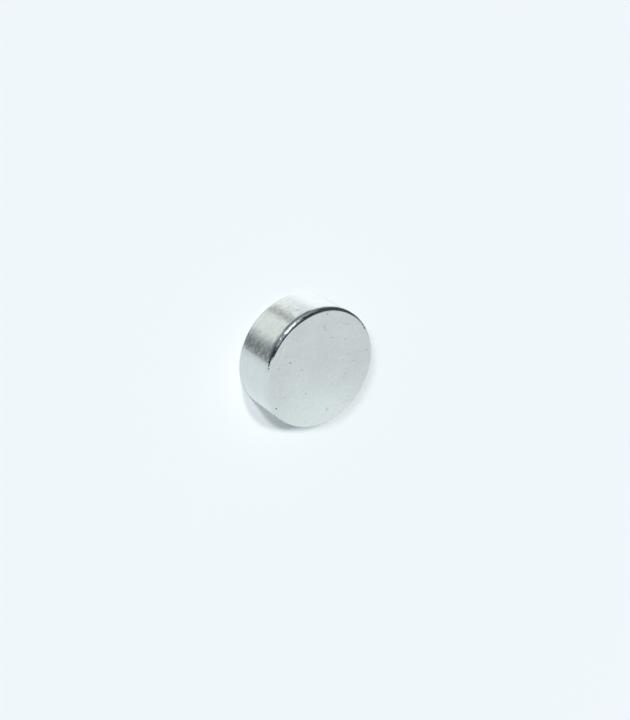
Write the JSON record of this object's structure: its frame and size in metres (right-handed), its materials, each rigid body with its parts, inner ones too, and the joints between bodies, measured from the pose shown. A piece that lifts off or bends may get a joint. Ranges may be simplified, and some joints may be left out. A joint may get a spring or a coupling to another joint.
{
  "type": "disc magnet",
  "caption": "Flat round disc magnet with plain end faces, a smooth cylindrical wall and softly rounded edges, for holding, latching or sensing.",
  "frame": {"origin": "centre of the lower end face, on the disc's axis", "axes": "+Z along the disc's axis, from the lower end face to the upper one; X and Y are any two directions across the disc"},
  "size_m": [0.01, 0.01, 0.004],
  "materials": {
    "nickel_plate": "satin"
  },
  "bodies": {
    "root": {"disc_magnet": "nickel_plate"}
  },
  "joints": []
}
